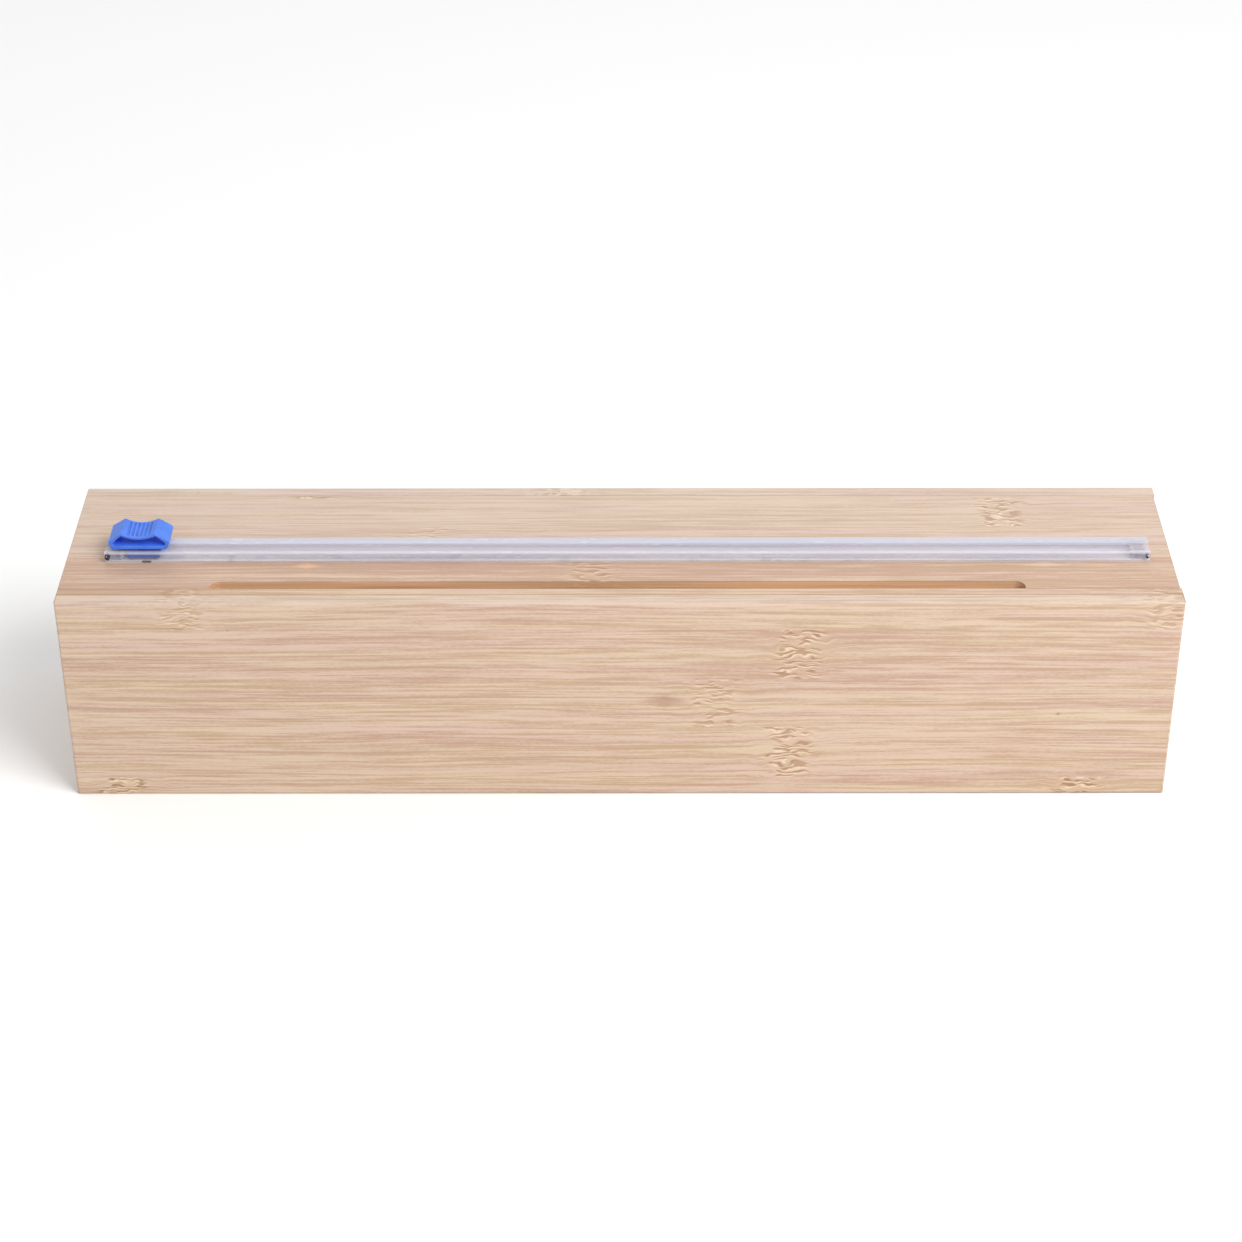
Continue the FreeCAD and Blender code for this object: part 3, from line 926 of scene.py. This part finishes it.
class DISPENSER_OT_battens(bpy.types.Operator):
    """Cross battens under the lid"""

    bl_idname = "dispenser.battens"
    bl_label = "Lid battens"

    def execute(self, context):
        look = context.scene.dispenser.box
        for side in SIDES:
            node = "lid_batten_" + side
            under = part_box(node)[0].z
            batten = new_block("bamboo_batten_" + side, *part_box(node))
            select_edges(batten, lambda p, q: same(p.z, under) and same(q.z, under))
            bevel(look.joint_round * 2.2, 3)
            bevel_sharp(batten, look.joint_round, 2)
            clean(batten)
            wear(batten, bamboo(side + " batten bamboo", look, node, 1, 2, BATTEN_STRIPS[side]))
            stand_for(batten, "lid", "bamboo_inner", node)
        return {"FINISHED"}


class DISPENSER_OT_magnets(bpy.types.Operator):
    """Plated magnets in the end boards and in the lid"""

    bl_idname = "dispenser.magnets"
    bl_label = "Magnets"

    def execute(self, context):
        nickel = bright_metal("nickel plate", (0.72, 0.71, 0.69), 0, 0.24)
        for body in ("box", "lid"):
            for side in SIDES:
                node = body + "_magnets_" + side
                magnets = self.magnet_pair(node, body + "_magnet_pair_" + side)
                wear(magnets, nickel)
                stand_for(magnets, body, "magnet", node)
        return {"FINISHED"}

    def magnet_pair(self, node, name):
        """One disc with rounded rims, and its copy at the second place, in one piece."""
        centres, radius, thickness = magnet_places(node)
        disc = new_rod(name, centres[0], radius, thickness, Z_AXIS, 48)
        bevel_sharp(disc, MAGNET_ROUND, 3)
        edit(disc)
        bpy.ops.mesh.select_all(action="SELECT")
        bpy.ops.mesh.duplicate_move(TRANSFORM_OT_translate={"value": centres[1] - centres[0]})
        leave_edit()
        clean(disc)
        return disc


# ---- cutter rail


STOP_FIT_GAP = 0.05 * MM  # between a stop and the channel's walls
GROOVE_HALF = 0.55 * MM
END_HOLE_RADIUS = 0.6 * MM
END_HOLE_INSET = 0.95 * MM


class DISPENSER_OT_rail(bpy.types.Operator):
    """Clear rail with its channel, groove and raised rear rib"""

    bl_idname = "dispenser.rail"
    bl_label = "Cutter rail"

    def execute(self, context):
        look = context.scene.dispenser.rail
        low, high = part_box("cutter_rail")
        stop_low, stop_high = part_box("rail_end_stop_left")
        blade_low, blade_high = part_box("cutter_blade_left")
        groove_y = (blade_low.y + blade_high.y) / 2
        wall = stop_low.z - low.z
        top = stop_high.z + wall
        rib_front = groove_y + GROOVE_HALF
        rail = new_block("clear_cutter_rail", low, (high.x, high.y, top))
        slopes = [Vector((0, y, 0)) for y in (rib_front, rib_front + wall, high.y - wall)]
        slice_at(rail, slopes, Y_AXIS)
        select_faces(rail, lambda c, n: n.z > 0.9 and rib_front + wall < c.y < high.y - wall)
        bpy.ops.transform.translate(value=(0, 0, high.z - top))
        leave_edit()
        channel_low = (low.x - MM, stop_low.y - STOP_FIT_GAP, stop_low.z)
        channel_high = (high.x + MM, stop_high.y + STOP_FIT_GAP, stop_high.z)
        carve(rail, new_block("channel", channel_low, channel_high))
        groove_low = (low.x - MM, groove_y - GROOVE_HALF, stop_high.z - wall / 2)
        groove_high = (high.x + MM, groove_y + GROOVE_HALF, high.z + MM)
        carve(rail, new_block("groove", groove_low, groove_high))
        for x in (low.x + END_HOLE_INSET, high.x - END_HOLE_INSET):
            centre = (x, low.y, (stop_low.z + stop_high.z) / 2)
            carve(rail, new_rod("end_hole", centre, END_HOLE_RADIUS, wall * 2.5, Y_AXIS, 24))
        select_edges(rail, lambda p, q: all(same(e.y, low.y) and same(e.z, top) for e in (p, q)))
        bevel(look.edge_round, 4)
        bevel_sharp(rail, look.fine_round, 2)
        clean(rail)

        # 1 on the thick rear rib, and on the front top edge as a painted highlight
        def thick_or_lit(x, y, z):
            rib = y.step(rib_front / MM, rib_front / MM + 0.6)
            front_edge = y.step(low.y / MM + 1.1, low.y / MM + 0.7) * z.step(top / MM - 0.9, top / MM - 0.5)
            return rib.larger(front_edge)

        wear(rail, clear_plastic("clear rail", look, look.haze, 0.2, thick_or_lit))
        stand_for(rail, "lid", "clear_rail", "cutter_rail")
        return {"FINISHED"}


class DISPENSER_OT_rail_fittings(bpy.types.Operator):
    """Stops in the rail's ends and the tape under the rail"""

    bl_idname = "dispenser.rail_fittings"
    bl_label = "Stops and tape"

    def execute(self, context):
        look = context.scene.dispenser.rail
        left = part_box("rail_end_stop_left")[1].x / MM
        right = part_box("rail_end_stop_right")[0].x / MM
        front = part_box("rail_end_stop_left")[0].y / MM

        # painted highlight where the stop's rounded inner end catches the light
        def lit_bevel(x, y, z):
            from_inner_end = abs(x - (left + right) / 2) - (right - left) / 2
            return abs(from_inner_end - 0.5).step(0.75, 0.45) * y.step(front + 1.4, front + 1.0)

        stop = clear_plastic("clear stop", look, look.haze + 0.15, 0.3, lit_bevel)
        for side in SIDES:
            node = frame["nodes"]["rail_end_stop_" + side]
            wear(node, stop)
        tape = frame["nodes"]["rail_tape"]
        knob_low, knob_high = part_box("slider_knob")
        black_spot_x = (knob_low.x + knob_high.x) / 2 + 2 * MM
        wear(tape, foam("foam tape", (0.90, 0.83, 0.81), black_spot_x))
        return {"FINISHED"}


# ---- slider


KNOB_BOTTOM_HALF = 8.65 * MM
KNOB_WIDEST_HALF = 9.5 * MM
KNOB_SHOULDER_HALF = 9.35 * MM
KNOB_TOP_HALF = 5.2 * MM
KNOB_WIDEST_HEIGHT = 2.2 * MM
KNOB_SHOULDER_HEIGHT = 2.9 * MM
KNOB_HEEL_ROUND = 0.9 * MM
KNOB_SHOULDER_ROUND = 0.35 * MM
KNOB_SCOOP = 1.35 * MM
SCOOP_SPARE = 0.4 * MM  # height above the top that the scoop takes away
KNOB_ROOF = 0.75 * MM
KNOB_FLOOR = 1.2 * MM
WINDOW_BOTTOM_HALF = 7.9 * MM
WINDOW_WIDEST_HALF = 8.25 * MM
WINDOW_TOP_HALF = 5.4 * MM
GROOVE_END_MARGIN = 0.9 * MM


class DISPENSER_OT_knob(bpy.types.Operator):
    """Blue knob: a hollow saddle with grip grooves across its top"""

    bl_idname = "dispenser.knob"
    bl_label = "Knob"

    def execute(self, context):
        look = context.scene.dispenser.slider
        low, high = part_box("slider_knob")
        middle = (low.x + high.x) / 2
        levels = [
            (low.z, KNOB_BOTTOM_HALF), (low.z + KNOB_WIDEST_HEIGHT, KNOB_WIDEST_HALF),
            (low.z + KNOB_SHOULDER_HEIGHT, KNOB_SHOULDER_HALF), (high.z, KNOB_TOP_HALF)]
        knob = saddle("blue_knob", middle, (low.y, high.y), levels, KNOB_SCOOP, True)
        window = [
            (low.z + KNOB_FLOOR, WINDOW_BOTTOM_HALF),
            (low.z + KNOB_WIDEST_HEIGHT, WINDOW_WIDEST_HALF),
            (high.z - KNOB_ROOF, WINDOW_TOP_HALF)]
        carve(knob, saddle("window", middle, (low.y - MM, high.y + MM), window, KNOB_SCOOP, False))
        bevel_sharp(knob, look.rim_round, 3, angle=38)
        radius = scoop_radius(KNOB_TOP_HALF, KNOB_SCOOP)
        centre_z = high.z - KNOB_SCOOP + radius
        for index in range(look.groove_count):
            x = (index - (look.groove_count - 1) / 2) * look.groove_pitch
            z = centre_z - math.sqrt(radius ** 2 - x ** 2)
            carve(knob, self.groove_tool(middle + x, z, low, high, look))
        clean(knob, 40)
        wear(knob, moulded_plastic("blue plastic", tuple(look.blue), 0.36, self.hollow))
        stand_for(knob, "slider", "blue_knob", "slider_knob")
        return {"FINISHED"}

    def hollow(self, graph, body, x, y, z):
        """The knob's colour with painted shade: a deeper blue in its hollow and along its bottom edge, and
        darker grip grooves.
        """
        look = bpy.context.scene.dispenser.slider
        low, high = [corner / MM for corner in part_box("slider_knob")]
        across = x - (low.x + high.x) / 2
        up = z - low.z
        roof = across * across * (MM / 2 / scoop_radius(KNOB_TOP_HALF, KNOB_SCOOP))
        roof = roof + (high.z - low.z - (KNOB_SCOOP + KNOB_ROOF / 2) / MM)
        # painted shade inside the hollow
        inside = up.step(1.0, 1.3) * (up - roof).step(0.1, -0.2) * y.step(low.y + 0.2, low.y + 0.8)
        inside = inside * (abs(across) + (up - 2.2).larger(0) * 1.08).step(8.8, 8.4)
        # painted shade along the knob's bottom edge, over the rail
        shaded_underside = up.step(0.75, 0.25)
        body = graph.mix((inside * 0.85).larger(shaded_underside * 0.6), body, tuple(look.deep_blue))
        pitch = look.groove_pitch / MM
        # painted shade in the grip grooves
        groove = abs((across + pitch / 2).wrapped(pitch / 2)).step(0.38, 0.12) * abs(across).step(3.8, 3.5)
        groove = groove * (up - roof).step(0.0, 0.1) * abs(y - (low.y + high.y) / 2).step(4.1, 3.7)
        return graph.mix(groove * 0.5, body, scaled(look.deep_blue, 0.5))

    def groove_tool(self, x, z, low, high, look):
        """A rod with rounded ends that cuts one grip groove."""
        centre = (x, (low.y + high.y) / 2, z)
        length = high.y - low.y - 2 * GROOVE_END_MARGIN
        tool = new_rod("groove", centre, look.groove_radius, length, Y_AXIS, 16)
        bevel_sharp(tool, look.groove_radius * 0.6, 3, angle=60)
        return tool


def scoop_radius(half_width, sag):
    """The radius of an arc that dips by sag over a chord."""
    return (half_width ** 2 + sag ** 2) / (2 * sag)


def saddle(name, middle, y_span, levels, sag, rounded):
    """A prism along y whose half width changes with height and whose top is scooped. levels are
    (height, half width) from the bottom up. The top has some spare height until it is scooped."""
    bottom, bottom_half = levels[0]
    shoulder, shoulder_half = levels[-2]
    top, top_half = levels[-1]
    peak_half = top_half - SCOOP_SPARE * (shoulder_half - top_half) / (top - shoulder)
    levels = [*levels[:-1], (top + SCOOP_SPARE, peak_half)]
    corner = (middle + bottom_half, y_span[1], top + SCOOP_SPARE)
    piece = new_block(name, (middle - bottom_half, y_span[0], bottom), corner)
    slice_at(piece, [Vector((middle, 0, height)) for height, half in levels[1:-1]], Z_AXIS)
    for height, half in levels[1:]:
        select_edges(piece, lambda p, q: same(p.z, height) and same(q.z, height))
        centre = (middle, (y_span[0] + y_span[1]) / 2, height)
        bpy.ops.transform.resize(value=(half / bottom_half, 1, 1), center_override=centre)
        leave_edit()
    if rounded:
        select_edges(piece, lambda p, q: same(p.z, bottom) and same(q.z, bottom) and same(p.x, q.x))
        bevel(KNOB_HEEL_ROUND, 5)
        select_edges(piece, lambda p, q: same(p.z, shoulder) and same(q.z, shoulder) and same(p.x, q.x))
        bevel(KNOB_SHOULDER_ROUND, 4)
    radius = scoop_radius(top_half, sag)
    centre = (middle, (y_span[0] + y_span[1]) / 2, top - sag + radius)
    carve(piece, new_rod("scoop", centre, radius, (y_span[1] - y_span[0]) * 1.5, Y_AXIS, 160))
    return piece


class DISPENSER_OT_foot(bpy.types.Operator):
    """Foot in the rail's channel and the two steel blades"""

    bl_idname = "dispenser.foot"
    bl_label = "Foot and blades"

    def execute(self, context):
        look = context.scene.dispenser.slider
        foot = frame["nodes"]["slider_foot"]
        wear(foot, moulded_plastic("blue foot plastic", scaled(look.deep_blue, 0.62), 0.4))
        steel = bright_metal("blade steel", (0.42, 0.43, 0.45), 0, 0.3)
        for side in SIDES:
            blade = frame["nodes"]["cutter_blade_" + side]
            wear(blade, steel)
        return {"FINISHED"}


# ---- stage


FLOOR_HALF = 14.0
FLOOR_DEPTH = 0.02
FLOOR_ROUND = 0.005
LAMP_SIZE = 0.8
BACK_LIGHT_PLACE = (-0.3, 0.9, 1.2)
BACK_LIGHT_SHARE = 0.12  # of the key light's power


class DISPENSER_OT_stage(bpy.types.Operator):
    """Pale floor, soft light and the camera"""

    bl_idname = "dispenser.stage"
    bl_label = "Stage"

    def execute(self, context):
        look = context.scene.dispenser.stage
        self.add_floor(look)
        self.add_sky(context.scene, look)
        self.add_lights(look)
        self.add_camera(context.scene, look)
        context.scene.view_settings.view_transform = "Standard"
        return {"FINISHED"}

    def add_floor(self, look):
        low = (-FLOOR_HALF, -FLOOR_HALF, -FLOOR_DEPTH)
        floor = new_block("floor", low, (FLOOR_HALF, FLOOR_HALF, -0.01 * MM))
        bevel_sharp(floor, FLOOR_ROUND, 2)
        wear(floor, floor_finish("pale floor", tuple(look.floor)))

    def add_sky(self, scene, look):
        world = bpy.data.worlds.new("soft studio")
        world.use_nodes = True
        background = world.node_tree.nodes["Background"]
        background.inputs["Color"].default_value = (1.0, 1.0, 1.0, 1.0)
        background.inputs["Strength"].default_value = look.sky_strength
        scene.world = world

    def add_lights(self, look):
        """A large soft light over the right front and a weak one behind."""
        for name, place, power in (
            ("key light", Vector(look.key_place), look.key_power),
            ("back light", Vector(BACK_LIGHT_PLACE), look.key_power * BACK_LIGHT_SHARE),
        ):
            light = bpy.data.lights.new(name, "AREA")
            light.size = LAMP_SIZE
            light.energy = power
            lamp = bpy.data.objects.new(name, light)
            lamp.location = place
            lamp.rotation_euler = (-place).to_track_quat("-Z", "Y").to_euler()
            bpy.context.scene.collection.objects.link(lamp)

    def add_camera(self, scene, look):
        data = bpy.data.cameras.new("camera")
        data.lens = look.lens
        data.sensor_width = 36.0
        data.clip_start = 0.01
        camera = bpy.data.objects.new("camera", data)
        turn = Matrix.Rotation(look.camera_yaw, 3, "Z")
        tilt = Matrix.Rotation(math.pi / 2 - look.camera_pitch, 3, "X")
        lean = Matrix.Rotation(look.camera_roll, 3, "Z")
        camera.rotation_euler = (turn @ tilt @ lean).to_euler()
        camera.location = look.camera_place
        scene.collection.objects.link(camera)
        scene.camera = camera


# ---- add-on


OPERATORS = (
    DISPENSER_OT_stage,
    DISPENSER_OT_front,
    DISPENSER_OT_back,
    DISPENSER_OT_bottom,
    DISPENSER_OT_ends,
    DISPENSER_OT_lid,
    DISPENSER_OT_battens,
    DISPENSER_OT_magnets,
    DISPENSER_OT_rail,
    DISPENSER_OT_rail_fittings,
    DISPENSER_OT_knob,
    DISPENSER_OT_foot,
)


class DISPENSER_PT_panel(bpy.types.Panel):
    """Lists the dispenser's operators, sizes and colours"""

    bl_idname = "DISPENSER_PT_panel"
    bl_label = "Cling film dispenser"
    bl_space_type = "VIEW_3D"
    bl_region_type = "UI"
    bl_category = "Dispenser"

    def draw(self, context):
        for operator in OPERATORS:
            self.layout.operator(operator.bl_idname)
        look = context.scene.dispenser
        for group in (look.box, look.rail, look.slider, look.stage):
            box = self.layout.box()
            for name in group.__annotations__:
                box.prop(group, name)


CLASSES = (BoxLook, RailLook, SliderLook, StageLook, DispenserLook, *OPERATORS, DISPENSER_PT_panel)


def register():
    for cls in CLASSES:
        bpy.utils.register_class(cls)
    bpy.types.Scene.dispenser = bpy.props.PointerProperty(type=DispenserLook)


def unregister():
    del bpy.types.Scene.dispenser
    for cls in reversed(CLASSES):
        bpy.utils.unregister_class(cls)


def main():
    register()
    for operator in OPERATORS:
        getattr(bpy.ops.dispenser, operator.bl_idname.split(".")[1])()


if __name__ == "__main__":
    main()
